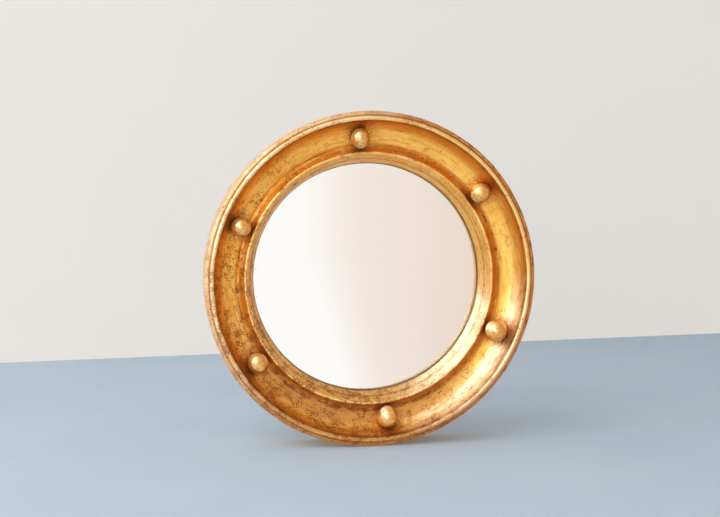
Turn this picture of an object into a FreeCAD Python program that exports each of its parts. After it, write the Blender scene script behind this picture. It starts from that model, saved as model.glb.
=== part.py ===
"""Convex mirror in a turned and gilded round rim with six balls.

The frame: +Z is up, the mirror faces -Y, and the origin is the middle of the back rim,
where it meets the wall. All lengths are in millimetres, and sections are drawn as
(radius from the mirror's axis, distance out from the wall).
"""

import FreeCAD, Part
import math
import os

import Sketcher

doc = FreeCAD.newDocument("ConvexMirror")


# ---------------------------------------------------------------- driving dimensions

DIMENSIONS = {
    # Radii, from the outside of the rim inwards
    "rim_radius": 127.0,
    "edge_roll_radius": 2.6,
    "quirk_width": 1.0,  # the groove between edge roll and bead
    "bead_width": 3.4,
    "fillet_width": 0.2,  # the fine step between bead and hollow
    "hollow_width": 18.2,
    "slip_width": 13.6,
    "glass_cover": 4.0,  # how far the slip laps over the glass
    "glass_side_gap": 0.5,
    "board_ledge_width": 5.5,
    "board_side_gap": 0.4,
    "packing_width": 7.0,
    "joint_taper": 0.5,  # how much smaller the rim is where its two layers meet
    "back_taper": 2.2,  # how much smaller it is at the wall
    "land_width": 8.3,  # the back rim that meets the wall, with its rounded arris
    # Depths, from the wall outwards
    "ledge_depth": 5.2,  # the ledge inside the back rim, which carries the hanger
    "pin_cover": 0.5,  # wood between the ledge and a pin
    "pin_diameter": 1.2,
    "board_thickness": 3.0,
    "packing_thickness": 2.0,
    "glass_thickness": 2.5,
    "glass_sag": 7.0,
    "slip_pocket_depth": 6.35,  # how deep the slip sits in the back ring
    "hollow_floor": 4.5,  # wood between the hollow's root and the glue line
    "hollow_depth": 13.6,
    "fillet_drop": 0.8,
    "bead_foot_drop": 0.4,
    "bead_rise": 1.3,  # bead crest over the edge roll
    "quirk_depth": 0.9,
    # Smaller turned forms
    "side_line_back": 14.5,  # a turned line round the side, behind the edge
    "side_line_depth": 0.5,
    "side_line_width": 1.2,
    "back_arris_radius": 2.0,
    "slip_crest_rise": 4.5,
    "slip_crest_width": 2.4,
    "slip_wall_lean": 4.8,
    "slip_cove_radius": 7.0,
    "slip_shoulder_drop": 0.9,
    "slip_step": 0.35,
    "sight_lip_thickness": 2.0,
    # Pins
    "pin_length": 11.0,
    "pin_bearing": 5.0,  # how much of a pin lies on the board
    "pin_count": 10,
    # Balls
    "ball_diameter": 16.0,
    "ball_1_extra": -1.2,  # the balls are turned by hand, so each has its own diameter
    "ball_2_extra": -0.4,
    "ball_3_extra": 1.2,
    "ball_4_extra": 0.2,
    "ball_5_extra": -0.4,
    "ball_6_extra": -1.2,
    "ball_1_shift": -1.9,  # degrees, because they don't sit quite evenly round the rim
    "ball_2_shift": 0.8,
    "ball_3_shift": 0.6,
    "ball_4_shift": 0.4,
    "ball_5_shift": -0.9,
    "ball_6_shift": 1.2,
    "ball_stand_off": 4.9,  # from the hollow's root outwards to a ball's centre
    "ball_seat": 1.5,
    "ball_turn": 6.4,  # degrees that the ball pattern is turned from upright
    "dowel_diameter": 3.0,
    "dowel_in_ball": 6.0,
    "dowel_in_rim": 5.0,
    "dowel_end_gap": 0.5,
    # Hanger
    "ring_wire_diameter": 2.0,
    "ring_width": 17.0,
    "ring_side_length": 2.0,
    "ring_corner_radius": 2.5,
    "ring_play": 0.2,
    "knuckle_side_gap": 1.5,
    "screw_diameter": 3.0,
    "screw_length": 10.0,
    "screw_head_diameter": 6.4,
    "screw_head_height": 1.9,
    "screw_head_edge": 0.4,  # the upright edge under the head's dome
    "screw_point_length": 3.0,
    "screw_slot_width": 0.8,
    "screw_slot_depth": 0.9,
    "screw_hole_gap": 0.2,
    "screw_ring_gap": 0.8,  # a screw's head beside the ring when that points up
    "screw_margin": 5.5,  # a screw's centre to the plate's end
    "plate_height": 12.0,
    "plate_thickness": 1.1,
    "plate_corner_radius": 4.0,
    "plate_rise": 1.4,  # hinge to the plate's lower edge
    "plate_margin": 1.54,  # the plate's upper corners to the back rim, straight up
    # Fits
    "glue_line": 0.03,
    "seat_gap": 0.05,
}
BALLS = 6

sheet = doc.addObject("Spreadsheet::Sheet", "Sizes")
for row, (alias, number) in enumerate(DIMENSIONS.items(), start=1):
    sheet.set(f"A{row}", alias)
    sheet.set(f"B{row}", str(number))
    sheet.setAlias(f"B{row}", alias)
doc.recompute()


class Size:
    """A number together with the expression that ties it to the sheet."""

    def __init__(self, number, text):
        self.number = number
        self.text = text

    def __add__(self, other):
        other = as_size(other)
        return Size(self.number + other.number, f"({self.text} + {other.text})")

    def __sub__(self, other):
        other = as_size(other)
        return Size(self.number - other.number, f"({self.text} - {other.text})")

    def __mul__(self, other):
        other = as_size(other)
        return Size(self.number * other.number, f"({self.text} * {other.text})")

    def __truediv__(self, other):
        other = as_size(other)
        return Size(self.number / other.number, f"({self.text} / {other.text})")

    def __neg__(self):
        return Size(-self.number, f"(-1 * {self.text})")


def as_size(value):
    return value if isinstance(value, Size) else Size(value, str(value))


def root(square):
    return Size(math.sqrt(square.number), f"sqrt({square.text})")


def sine(degrees):
    return Size(math.sin(math.radians(degrees.number)), f"sin({degrees.text})")


def cosine(degrees):
    return Size(math.cos(math.radians(degrees.number)), f"cos({degrees.text})")


def angle_of_sine(ratio):
    """The angle in degrees, as a plain number."""
    return Size(math.degrees(math.asin(ratio.number)), f"(asin({ratio.text}) / 1 deg)")


def size(alias):
    return Size(float(sheet.get(alias)), f"Sizes.{alias}")


def bind(item, **values):
    """Ties properties of item to the sheet. A double underscore stands for the dot of a sub-property."""
    for name, value in values.items():
        item.setExpression(name.replace("__", "."), as_size(value).text)


# ---------------------------------------------------------------- sketches and features

LEFT, RIGHT = 1, -1  # the side of an arc's way that its centre lies on


def origin_feature(body, role):
    return next(item for item in body.Origin.OriginFeatures if item.Role == role)


def new_body(label):
    body = doc.addObject("PartDesign::Body", label)
    body.Label = label
    return body


def attach(item, body, plane, rotation=None):
    item.AttachmentSupport = [(origin_feature(body, plane), "")]
    item.MapMode = "FlatFace"
    if rotation:
        item.AttachmentOffset = FreeCAD.Placement(FreeCAD.Vector(), rotation)


def pin_point(sketch, curve, end, point):
    """Holds one end of a curve at point, by expressions, or on an axis where a coordinate is 0."""
    for kind, axis, value in (("DistanceX", -2, point[0]), ("DistanceY", -1, point[1])):
        value = as_size(value)
        if value.text == "0":
            sketch.addConstraint(Sketcher.Constraint("PointOnObject", curve, end, axis))
            continue
        index = sketch.addConstraint(Sketcher.Constraint(kind, -1, 1, curve, end, value.number))
        sketch.setExpression(f"Constraints[{index}]", value.text)


def arc_between(start, end, radius, side):
    """The arc of under half a turn from start to end, with its centre on that side of its way."""
    a = FreeCAD.Vector(start[0].number, start[1].number)
    b = FreeCAD.Vector(end[0].number, end[1].number)
    chord = b - a
    across = FreeCAD.Vector(-chord.y, chord.x) / chord.Length
    rise = math.sqrt(max(radius.number**2 - (chord.Length / 2) ** 2, 0))
    centre = a + chord / 2 + across * rise * side
    first, last = (a, b) if side == LEFT else (b, a)
    angles = [math.atan2(p.y - centre.y, p.x - centre.x) for p in (first, last)]
    circle = Part.Circle(centre, FreeCAD.Vector(0, 0, 1), radius.number)
    return Part.ArcOfCircle(circle, angles[0], angles[1])


def draw(sketch, steps):
    """A closed outline. Each step is a point, with a radius and a side where an arc leads to it."""
    points = [tuple(as_size(value) for value in step[:2]) for step in steps]
    bends = [step[2:] for step in steps]
    curves = []
    for index, end in enumerate(points):
        start = points[index - 1]
        if bends[index]:
            radius, side = as_size(bends[index][0]), bends[index][1]
            curve = sketch.addGeometry(arc_between(start, end, radius, side), False)
            held = sketch.addConstraint(Sketcher.Constraint("Radius", curve, radius.number))
            sketch.setExpression(f"Constraints[{held}]", radius.text)
            curves.append((curve, 1, 2) if side == LEFT else (curve, 2, 1))
        else:
            ends = [FreeCAD.Vector(p[0].number, p[1].number) for p in (start, end)]
            curves.append((sketch.addGeometry(Part.LineSegment(*ends), False), 1, 2))
    for index, (curve, _, last) in enumerate(curves):
        following, first, _ = curves[(index + 1) % len(curves)]
        sketch.addConstraint(Sketcher.Constraint("Coincident", curve, last, following, first))
        pin_point(sketch, curve, last, points[index])


def section(body, name, steps, axis):
    """A sketch in the half plane of radius and distance from the wall."""
    sketch = body.newObject("Sketcher::SketchObject", name)
    attach(sketch, body, "XY_Plane", FreeCAD.Rotation(FreeCAD.Vector(1, 0, 0), 180))
    bind(sketch, AttachmentOffset__Base__x=axis[0], AttachmentOffset__Base__z=axis[1])
    draw(sketch, steps)
    return sketch


def turn(body, name, steps, kind="PartDesign::Revolution", axis=(0, 0)):
    """Turns a section round a line out of the wall, as a solid or as a groove.

    The line is the mirror's axis, or passes through the point axis, across and up from it.
    """
    sketch = section(body, f"{name}_section", steps, axis)
    feature = body.newObject(kind, name)
    feature.Profile = sketch
    feature.ReferenceAxis = (sketch, ["V_Axis"])
    feature.Angle = 360.0
    return feature


def face_sketch(body, name, distance):
    """A sketch parallel to the wall and distance out from it, with X across and Y up."""
    sketch = body.newObject("Sketcher::SketchObject", name)
    attach(sketch, body, "XZ_Plane")
    bind(sketch, AttachmentOffset__Base__z=distance)
    return sketch


def add_circle(sketch, across, up, radius):
    across, up, radius = as_size(across), as_size(up), as_size(radius)
    centre = FreeCAD.Vector(across.number, up.number)
    circle = Part.Circle(centre, FreeCAD.Vector(0, 0, 1), radius.number)
    curve = sketch.addGeometry(circle, False)
    pin_point(sketch, curve, 3, (across, up))
    held = sketch.addConstraint(Sketcher.Constraint("Radius", curve, radius.number))
    sketch.setExpression(f"Constraints[{held}]", radius.text)


def pad(body, name, sketch, length, midplane=False):
    feature = body.newObject("PartDesign::Pad", name)
    feature.Profile = sketch
    feature.Midplane = midplane
    bind(feature, Length=length)
    return feature


def pocket(body, name, sketch, length):
    """Cuts from the sketch outwards, away from the wall."""
    feature = body.newObject("PartDesign::Pocket", name)
    feature.Profile = sketch
    feature.Reversed = True
    bind(feature, Length=length)
    return feature


def rod(body, name, start, lean, diameter, length, cuts=False, around=0):
    """A cylinder from a point (radius, distance from the wall) in the half plane at the angle around.

    That angle goes counter-clockwise from +X, as seen from the front. Its lean is the angle in
    degrees from straight out of the wall towards larger radii.
    """
    kind = "PartDesign::SubtractiveCylinder" if cuts else "PartDesign::AdditiveCylinder"
    feature = body.newObject(kind, name)
    attach(feature, body, "XZ_Plane", FreeCAD.Rotation(FreeCAD.Vector(0, 1, 0), 1))
    radius, distance = start
    right, up = cosine(as_size(around)), sine(as_size(around))
    bind(feature, AttachmentOffset__Base__x=radius * right)
    bind(feature, AttachmentOffset__Base__y=radius * up)
    bind(feature, AttachmentOffset__Base__z=distance)
    bind(feature, AttachmentOffset__Rotation__Axis__x=-up, AttachmentOffset__Rotation__Axis__y=right)
    bind(feature, AttachmentOffset__Rotation__Angle=lean)
    bind(feature, Radius=diameter / 2, Height=length)
    return feature


def ring_of(body, feature, count):
    """Repeats a feature evenly round the mirror's axis."""
    pattern = body.newObject("PartDesign::PolarPattern", f"{feature.Name}_ring")
    pattern.Originals = [feature]
    pattern.Axis = (origin_feature(body, "Y_Axis"), [""])
    pattern.Angle = 360.0
    bind(pattern, Occurrences=count)
    body.Tip = pattern
    return pattern


def turn_to(body, degrees):
    """Turns a body about the mirror's axis, counter-clockwise as seen from the front."""
    body.Placement = FreeCAD.Placement(FreeCAD.Vector(), FreeCAD.Rotation(FreeCAD.Vector(0, -1, 0), 1))
    bind(body, Placement__Rotation__Angle=degrees)


# ---------------------------------------------------------------- shared sizes

RIGHT_ANGLE = math.degrees(math.pi / 2)  # also from +X, where every pattern starts, to upright
BALL_STEP = 360 / BALLS
SADDLE_REACH = 40  # degrees to each side of a dowel's line, well past its ball
KNUCKLE_END = math.radians(70)  # where the rolled strip stops, up from level with the hinge

glue_line = size("glue_line")
seat_gap = size("seat_gap")

# Radii from the outside in
rim_radius = size("rim_radius")
bead_outer = rim_radius - size("edge_roll_radius") - size("quirk_width")
bead_inner = bead_outer - size("bead_width")
hollow_lip_radius = bead_inner - size("fillet_width")
hollow_width = size("hollow_width")
hollow_root_radius = hollow_lip_radius - hollow_width
sight_radius = hollow_root_radius - size("slip_width")
glass_radius = sight_radius + size("glass_cover")
glass_pocket_radius = glass_radius + size("glass_side_gap")
board_rebate_radius = glass_pocket_radius + size("board_ledge_width")
joint_radius = rim_radius - size("joint_taper")
back_radius = rim_radius - size("back_taper")
land_inner_radius = back_radius - size("land_width")

# Depths from the wall out, up to the glass
ledge_depth = size("ledge_depth")
pin_diameter = size("pin_diameter")
pin_depth = ledge_depth + size("pin_cover") + pin_diameter / 2
board_back = pin_depth + pin_diameter / 2 + seat_gap
board_front = board_back + size("board_thickness")
packing_front = board_front + size("packing_thickness")
glass_rim_back = packing_front + seat_gap

# The glass is bounded by two spheres on one centre. Its front touches the slip's lip at the sight edge.
glass_sag = size("glass_sag")
glass_sphere = (glass_radius * glass_radius + glass_sag * glass_sag) / (glass_sag * 2)
glass_back_sphere = glass_sphere - size("glass_thickness")


def sphere_height(sphere_radius, radius):
    """How far a sphere's surface stands over its centre at this radius from the mirror's axis."""
    return root(sphere_radius * sphere_radius - radius * radius)


sphere_centre_depth = glass_rim_back - sphere_height(glass_back_sphere, glass_radius)
glass_rim_front = sphere_centre_depth + sphere_height(glass_sphere, glass_radius)

# Depths from the glass out
slip_seat_depth = sphere_centre_depth + sphere_height(glass_sphere, sight_radius) + seat_gap
back_ring_depth = slip_seat_depth + size("slip_pocket_depth")
hollow_root_depth = back_ring_depth + size("hollow_floor")
hollow_depth = size("hollow_depth")
hollow_lip_depth = hollow_root_depth + hollow_depth
rim_depth = hollow_lip_depth + size("fillet_drop")
bead_foot = rim_depth - size("bead_foot_drop")

# The hollow is an arc that is level at its root, so its centre stands straight over the root.
hollow_radius = (hollow_width * hollow_width + hollow_depth * hollow_depth) / (hollow_depth * 2)
hollow_centre_depth = hollow_root_depth + hollow_radius

# A dowel's line runs from the hollow's centre through the ball into the rim.
ball_seat = size("ball_seat")
ball_diameter = size("ball_diameter")
ball_lean = angle_of_sine(size("ball_stand_off") / (hollow_radius - ball_diameter / 2 + ball_seat))
dowel_diameter = size("dowel_diameter")
dowel_in_ball = size("dowel_in_ball")
dowel_in_rim = size("dowel_in_rim")
dowel_end_gap = size("dowel_end_gap")
bore_diameter = dowel_diameter + glue_line * 2


def ball_angle(number):
    """A ball's place round the rim, counter-clockwise from +X as seen from the front."""
    upright = size("ball_turn") + RIGHT_ANGLE
    return upright - BALL_STEP * (number - 1) + size(f"ball_{number}_shift")


def on_dowel_line(distance):
    """The point at this distance from the hollow's centre, as (radius, distance from the wall)."""
    return (
        hollow_root_radius + sine(ball_lean) * distance,
        hollow_centre_depth - cosine(ball_lean) * distance,
    )


# The hanger hangs from the top of the recess, and its hinge stands off the ledge by the knuckle's radius.
plate_thickness = size("plate_thickness")
wire_diameter = size("ring_wire_diameter")
eye_radius = wire_diameter / 2 + size("ring_play")
knuckle_radius = eye_radius + plate_thickness
plate_back = ledge_depth
plate_face = ledge_depth - plate_thickness
half_ring = size("ring_width") / 2
ring_corner = size("ring_corner_radius")
screw_diameter = size("screw_diameter")
screw_head_diameter = size("screw_head_diameter")
ring_side = half_ring + wire_diameter / 2
screw_offset = ring_side + size("screw_ring_gap") + screw_head_diameter / 2
half_plate = screw_offset + size("screw_margin")
plate_top = sphere_height(land_inner_radius, half_plate) - size("plate_margin")
plate_foot = plate_top - size("plate_height")
hinge_height = plate_foot - size("plate_rise")
hinge_depth = ledge_depth - knuckle_radius
screw_height = plate_foot + size("plate_height") / 2
screw_hole_radius = screw_diameter / 2 + glue_line


# ---------------------------------------------------------------- the turned rim


def make_front_moulding():
    """The front layer: side with its turned line, edge roll, quirk, bead, fillet and hollow."""
    body = new_body("front_moulding")
    roll = size("edge_roll_radius")
    side_front = rim_depth - roll
    line_depth = rim_depth - size("side_line_back")
    half_line = size("side_line_width") / 2
    half_bead = size("bead_width") / 2
    rise = size("bead_rise") + size("bead_foot_drop")
    bead_radius = (half_bead * half_bead + rise * rise) / (rise * 2)
    back = back_ring_depth + glue_line

    def side_radius(depth):
        return rim_radius - size("joint_taper") * (side_front - depth) / (side_front - back)

    turn(
        body,
        "front_turning",
        [
            (hollow_root_radius, back),
            (joint_radius, back),
            (side_radius(line_depth - half_line), line_depth - half_line),
            (side_radius(line_depth) - size("side_line_depth"), line_depth),
            (side_radius(line_depth + half_line), line_depth + half_line),
            (rim_radius, side_front),
            (rim_radius - roll, rim_depth, roll, LEFT),
            (bead_outer + size("quirk_width") / 2, rim_depth - size("quirk_depth")),
            (bead_outer, bead_foot),
            (bead_outer - half_bead, bead_foot + rise, bead_radius, LEFT),
            (bead_inner, bead_foot, bead_radius, LEFT),
            (hollow_lip_radius, hollow_lip_depth),
            (hollow_root_radius, hollow_root_depth, hollow_radius, RIGHT),
        ],
    )
    floor = hollow_radius + dowel_in_rim + dowel_end_gap
    bore_length = floor - hollow_radius + ball_seat * 2
    for number in range(1, BALLS + 1):
        rod(
            body, f"dowel_bore_{number}", on_dowel_line(floor), -ball_lean,
            bore_diameter, bore_length, cuts=True, around=ball_angle(number),
        )
    return body


def make_back_ring():
    """The drum behind: outer side, wall land, hanger ledge, and the board, glass and slip pockets."""
    body = new_body("back_ring")
    arris = size("back_arris_radius")
    turn(
        body,
        "drum_turning",
        [
            (land_inner_radius, 0),
            (back_radius - arris, 0),
            (back_radius, arris, arris, LEFT),
            (joint_radius, back_ring_depth),
            (hollow_root_radius, back_ring_depth),
            (hollow_root_radius, slip_seat_depth),
            (glass_pocket_radius, slip_seat_depth),
            (glass_pocket_radius, board_front),
            (board_rebate_radius, board_front),
            (board_rebate_radius, ledge_depth),
            (land_inner_radius, ledge_depth),
        ],
    )
    hole_start = (board_rebate_radius - size("board_side_gap"), pin_depth)
    pin_in_wood = size("pin_length") - size("pin_bearing")
    hole_length = pin_in_wood + size("board_side_gap") + dowel_end_gap
    hole_diameter = pin_diameter + glue_line * 2
    hole = rod(body, "pin_hole", hole_start, RIGHT_ANGLE, hole_diameter, hole_length, cuts=True)
    ring_of(body, hole, size("pin_count"))
    holes = face_sketch(body, "screw_hole_centres", ledge_depth)
    for across in (screw_offset, -screw_offset):
        add_circle(holes, across, screw_height, screw_hole_radius)
    pocket(body, "screw_holes", holes, size("screw_length") - plate_thickness + dowel_end_gap)
    return body


def make_slip_ring():
    """The inner ring: foot in its pocket, cove, rounded crest and a two-band slope to the glass."""
    body = new_body("slip_ring")
    outer = hollow_root_radius - glue_line
    crest_depth = hollow_root_depth + size("slip_crest_rise")
    shoulder_depth = crest_depth - size("slip_shoulder_drop")
    crest_outer = outer - size("slip_wall_lean")
    half_crest = size("slip_crest_width") / 2
    drop = size("slip_shoulder_drop")
    crest_radius = (half_crest * half_crest + drop * drop) / (drop * 2)
    crest_inner = crest_outer - half_crest * 2
    lip_depth = slip_seat_depth + size("sight_lip_thickness")
    step = size("slip_step")
    middle_radius = (crest_inner + sight_radius) / 2
    middle_depth = (shoulder_depth + lip_depth) / 2
    turn(
        body,
        "slip_turning",
        [
            (sight_radius, slip_seat_depth + glue_line),
            (outer, slip_seat_depth + glue_line),
            (outer, hollow_root_depth),
            (crest_outer, shoulder_depth, size("slip_cove_radius"), RIGHT),
            (crest_outer - half_crest, crest_depth, crest_radius, LEFT),
            (crest_inner, shoulder_depth, crest_radius, LEFT),
            (middle_radius, middle_depth + step),
            (middle_radius - step, middle_depth),
            (sight_radius, lip_depth),
        ],
    )
    return body


# ---------------------------------------------------------------- balls and dowels


def make_ball(number):
    """A ball with a saddle cut to the hollow and a blind bore for its dowel."""
    body = new_body(f"ball_{number}")
    radius = (ball_diameter + size(f"ball_{number}_extra")) / 2
    centre = on_dowel_line(hollow_radius - radius + ball_seat)
    sphere = body.newObject("PartDesign::AdditiveSphere", f"ball_{number}_sphere")
    attach(sphere, body, "XZ_Plane")
    bind(sphere, Radius=radius)
    bind(sphere, AttachmentOffset__Base__x=centre[0], AttachmentOffset__Base__z=centre[1])

    near, far = hollow_radius - glue_line, hollow_radius + ball_seat * 3
    low, high = ball_lean - SADDLE_REACH, ball_lean + SADDLE_REACH
    corners = [
        (
            hollow_root_radius + sine(angle) * distance,
            hollow_centre_depth - cosine(angle) * distance,
        )
        for angle, distance in ((low, near), (low, far), (high, far), (high, near))
    ]
    saddle = [corners[0] + (near, RIGHT), corners[1], corners[2] + (far, LEFT), corners[3]]
    turn(body, f"ball_{number}_saddle", saddle, "PartDesign::Groove")

    start = on_dowel_line(hollow_radius + ball_seat)
    length = ball_seat + dowel_in_ball + dowel_end_gap
    rod(body, f"ball_{number}_bore", start, -ball_lean, bore_diameter, length, cuts=True)
    turn_to(body, ball_angle(number))
    return body


def make_ball_dowels():
    body = new_body("ball_dowels")
    body.AllowCompound = True
    start = on_dowel_line(hollow_radius + dowel_in_rim)
    for number in range(1, BALLS + 1):
        rod(
            body, f"dowel_{number}", start, -ball_lean,
            dowel_diameter, dowel_in_rim + dowel_in_ball, around=ball_angle(number),
        )
    return body


# ---------------------------------------------------------------- glass, packing and board


def make_mirror_glass():
    """A spherical cap of even thickness with a plain rim."""
    body = new_body("mirror_glass")
    turn(
        body,
        "glass_turning",
        [
            (0, sphere_centre_depth + glass_back_sphere),
            (glass_radius, glass_rim_back, glass_back_sphere, RIGHT),
            (glass_radius, glass_rim_front),
            (0, sphere_centre_depth + glass_sphere, glass_sphere, LEFT),
        ],
    )
    return body


def make_packing_ring():
    body = new_body("glass_packing_ring")
    inner = glass_radius - size("packing_width")
    front, back = packing_front, board_front + glue_line
    turn(
        body,
        "packing_turning",
        [(inner, back), (glass_radius, back), (glass_radius, front), (inner, front)],
    )
    return body


def make_backing_board():
    body = new_body("backing_board")
    disc = face_sketch(body, "board_outline", board_back)
    add_circle(disc, 0, 0, board_rebate_radius - size("board_side_gap"))
    pad(body, "board", disc, size("board_thickness"))
    return body


def make_backing_pins():
    body = new_body("backing_pins")
    body.AllowCompound = True
    start = (board_rebate_radius - size("pin_bearing"), pin_depth)
    pin = rod(body, "pin", start, RIGHT_ANGLE, pin_diameter, size("pin_length"))
    ring_of(body, pin, size("pin_count"))
    return body


# ---------------------------------------------------------------- hanger


def make_hanger_plate():
    """A brass plate with a strip at its foot that is rolled into a knuckle round the ring's bar."""
    body = new_body("hanger_plate")
    half, corner = half_plate, size("plate_corner_radius")
    outline = face_sketch(body, "plate_outline", plate_face)
    draw(
        outline,
        [
            (half - corner, plate_foot),
            (half, plate_foot + corner, corner, LEFT),
            (half, plate_top - corner),
            (half - corner, plate_top, corner, LEFT),
            (corner - half, plate_top),
            (-half, plate_top - corner, corner, LEFT),
            (-half, plate_foot + corner),
            (corner - half, plate_foot, corner, LEFT),
        ],
    )
    pad(body, "plate", outline, plate_thickness)

    # The strip's section, seen along X: down the ledge, round the hinge and back to just short of the plate.
    strip = body.newObject("Sketcher::SketchObject", "knuckle_section")
    attach(strip, body, "YZ_Plane")
    end_across = math.cos(KNUCKLE_END)
    end_rise = math.sin(KNUCKLE_END)
    axis_y = -hinge_depth
    draw(
        strip,
        [
            (-plate_back, plate_foot + corner),
            (-plate_back, hinge_height),
            (axis_y, hinge_height - knuckle_radius, knuckle_radius, LEFT),
            (axis_y + knuckle_radius, hinge_height, knuckle_radius, LEFT),
            (
                axis_y - knuckle_radius * end_across,
                hinge_height + knuckle_radius * end_rise,
                knuckle_radius,
                LEFT,
            ),
            (axis_y - eye_radius * end_across, hinge_height + eye_radius * end_rise),
            (axis_y + eye_radius, hinge_height, eye_radius, RIGHT),
            (axis_y, hinge_height - eye_radius, eye_radius, RIGHT),
            (-plate_face, hinge_height, eye_radius, RIGHT),
            (-plate_face, plate_foot + corner),
        ],
    )
    half_knuckle = half_ring - ring_corner - size("knuckle_side_gap")
    pad(body, "knuckle", strip, half_knuckle * 2, midplane=True)

    holes = face_sketch(body, "plate_hole_centres", plate_face)
    for across in (screw_offset, -screw_offset):
        add_circle(holes, across, screw_height, screw_diameter / 2 + size("screw_hole_gap"))
    pocket(body, "plate_holes", holes, plate_thickness)
    return body


def make_hanger_ring():
    """A D ring: a straight bar through the knuckle and a round bow below it."""
    body = new_body("hanger_ring")
    half, corner = half_ring, ring_corner
    path = face_sketch(body, "ring_path", hinge_depth)
    bow_height = hinge_height - corner - size("ring_side_length")
    draw(
        path,
        [
            (half - corner, hinge_height),
            (corner - half, hinge_height),
            (-half, hinge_height - corner, corner, LEFT),
            (-half, bow_height),
            (0, bow_height - half, half, LEFT),
            (half, bow_height, half, LEFT),
            (half, hinge_height - corner),
        ],
    )
    wire = body.newObject("Sketcher::SketchObject", "wire_section")
    attach(wire, body, "YZ_Plane")
    add_circle(wire, -hinge_depth, hinge_height, wire_diameter / 2)
    ring = body.newObject("PartDesign::AdditivePipe", "ring")
    ring.Profile = wire
    ring.Spine = path
    return body


def make_hanger_screws():
    """Slotted round-head wood screws, drawn without their threads."""
    body = new_body("hanger_screws")
    body.AllowCompound = True
    head_radius = screw_head_diameter / 2
    head_top = plate_face - size("screw_head_height")
    head_edge = plate_face - size("screw_head_edge")
    dome = head_edge - head_top
    dome_radius = (head_radius * head_radius + dome * dome) / (dome * 2)
    tip = plate_face + size("screw_length")
    half_slot = size("screw_slot_width") / 2
    for index, across in enumerate((screw_offset, -screw_offset), start=1):
        outline = [
            (0, head_top),
            (head_radius, head_edge, dome_radius, LEFT),
            (head_radius, plate_face),
            (screw_diameter / 2, plate_face),
            (screw_diameter / 2, tip - size("screw_point_length")),
            (0, tip),
        ]
        turn(body, f"screw_{index}", outline, axis=(across, screw_height))
        slot = face_sketch(body, f"slot_{index}_outline", head_top)
        sides = ((1, -1), (1, 1), (-1, 1), (-1, -1))
        draw(slot, [(across + head_radius * x, screw_height + half_slot * y) for x, y in sides])
        pocket(body, f"slot_{index}", slot, size("screw_slot_depth"))
    return body


# ---------------------------------------------------------------- build, check and write


def check_features():
    """Stops on any failed object, and on a cut that removed nothing."""
    for item in doc.Objects:
        if {"Invalid", "Error"} & set(item.State):
            raise RuntimeError(f"{item.Name} failed: {item.State}")
        base = getattr(item, "BaseFeature", None)
        cuts = item.TypeId.split("::")[1] in ("Pocket", "Groove", "SubtractiveCylinder")
        if base and cuts and item.Shape.Volume >= base.Shape.Volume - 1e-3:
            raise RuntimeError(f"{item.Name} cuts nothing")


def write(bodies):
    os.makedirs("parts", exist_ok=True)
    for body in bodies:
        if body.Shape.isNull() or not body.Shape.isValid():
            raise RuntimeError(f"{body.Label} has no valid shape")
        body.Shape.exportStep(f"parts/{body.Label}.step")


bodies = [make_front_moulding(), make_back_ring(), make_slip_ring()]
bodies += [make_ball(number) for number in range(1, BALLS + 1)]
bodies += [make_ball_dowels(), make_mirror_glass(), make_packing_ring()]
bodies += [make_backing_board(), make_backing_pins()]
bodies += [make_hanger_plate(), make_hanger_ring(), make_hanger_screws()]
doc.recompute()
check_features()
write(bodies)
for body in bodies:
    box = body.Shape.BoundBox
    print(f"{body.Label}: {len(body.Shape.Solids)} solids, {body.Shape.Volume / 1000:.2f} cm3, "
          f"{box.XLength:.1f} x {box.YLength:.1f} x {box.ZLength:.1f} mm")
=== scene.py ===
"""Looks of the convex mirror: gilded turned rim, six hand-made balls, silvered glass and the finished back.

Lengths are millimetres, apart from those of the lamps and the lens. Places on the mirror are given as radius
(distance from its axis), out (distance from the wall) and clock (degrees counter-clockwise from +X, seen from
the front).
"""

import math

import bpy
import numpy as np
from mathutils import Matrix, Vector


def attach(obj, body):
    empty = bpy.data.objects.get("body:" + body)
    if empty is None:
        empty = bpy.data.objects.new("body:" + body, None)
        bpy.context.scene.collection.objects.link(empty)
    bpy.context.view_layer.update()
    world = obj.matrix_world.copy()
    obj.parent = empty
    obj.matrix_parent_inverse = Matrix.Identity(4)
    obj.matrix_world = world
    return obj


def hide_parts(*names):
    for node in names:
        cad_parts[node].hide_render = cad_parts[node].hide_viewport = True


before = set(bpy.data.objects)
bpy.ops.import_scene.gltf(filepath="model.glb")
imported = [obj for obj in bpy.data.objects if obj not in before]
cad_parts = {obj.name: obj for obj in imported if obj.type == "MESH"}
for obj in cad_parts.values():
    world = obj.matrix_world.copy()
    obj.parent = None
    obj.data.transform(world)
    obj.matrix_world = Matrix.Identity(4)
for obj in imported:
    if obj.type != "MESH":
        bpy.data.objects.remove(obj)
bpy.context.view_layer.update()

MM = 0.001
TAU = math.tau

# ---------------------------------------------------------------- sizes that the pieces share with the solids

RIM_RADIUS = 127.0
JOINT_RADIUS = 126.5
BACK_RADIUS = 124.8
EDGE_ROLL = 2.6
BEAD_OUTER = 123.4
BEAD_INNER = 120.0
BEAD_MIDDLE = (BEAD_OUTER + BEAD_INNER) / 2
SIGHT_RADIUS = 88.0
GLASS_RADIUS = 92.0
GLASS_SAG = 7.0
GLASS_THICKNESS = 2.5
GLASS_BACK = 12.0  # out of the plate's back at its edge
GLASS_POCKET = 92.5
BOARD_REBATE = 98.0
BOARD_FRONT = 9.95
LEDGE_DEPTH = 5.2
LAND_INNER = 116.5
BACK_ROUND = 2.0
DRUM_DEPTH = 21.53
RIM_DEPTH = 40.43
HOLLOW_WIDTH = 18.2
HOLLOW_HEIGHT = 13.6
HOLLOW_ROOT = (101.6, 26.03)
HOLLOW_LIP = (HOLLOW_ROOT[0] + HOLLOW_WIDTH, HOLLOW_ROOT[1] + HOLLOW_HEIGHT)
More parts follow.
